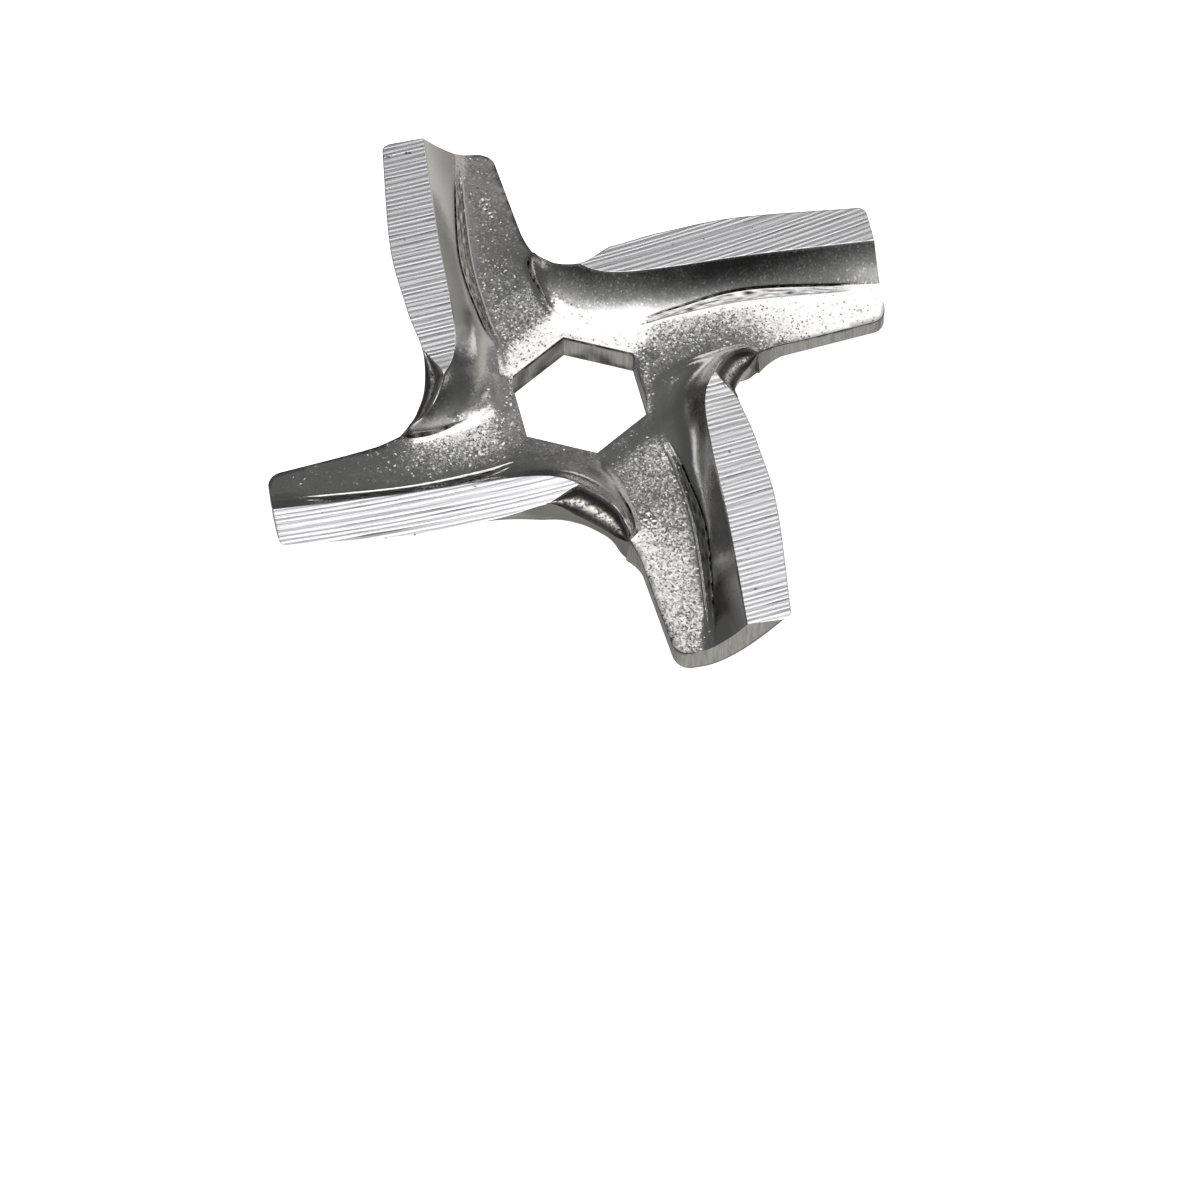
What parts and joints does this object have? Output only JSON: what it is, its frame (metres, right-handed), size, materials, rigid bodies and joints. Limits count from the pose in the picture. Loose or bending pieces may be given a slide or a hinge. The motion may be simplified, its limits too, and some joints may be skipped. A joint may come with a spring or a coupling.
{
  "type": "meat grinder knife",
  "caption": "Stamped steel star knife of a small meat grinder: pressed-up arms ground flat as cutting faces around a hub with a hexagonal drive hole.",
  "frame": {"origin": "centre of the hexagonal drive hole, on the plane of the flat back", "axes": "+Z along the drive axis towards the cutting faces; +X square to a flat of the hexagon, with an arm 3.1 degrees clockwise from it seen from +Z; the hexagon has corners on the Y axis"},
  "size_m": [0.043, 0.043, 0.0045],
  "materials": {
    "knife_steel": "bright pickled sheet steel, cutting faces ground"
  },
  "bodies": {
    "root": {"grinder_knife": "knife_steel"}
  },
  "joints": []
}
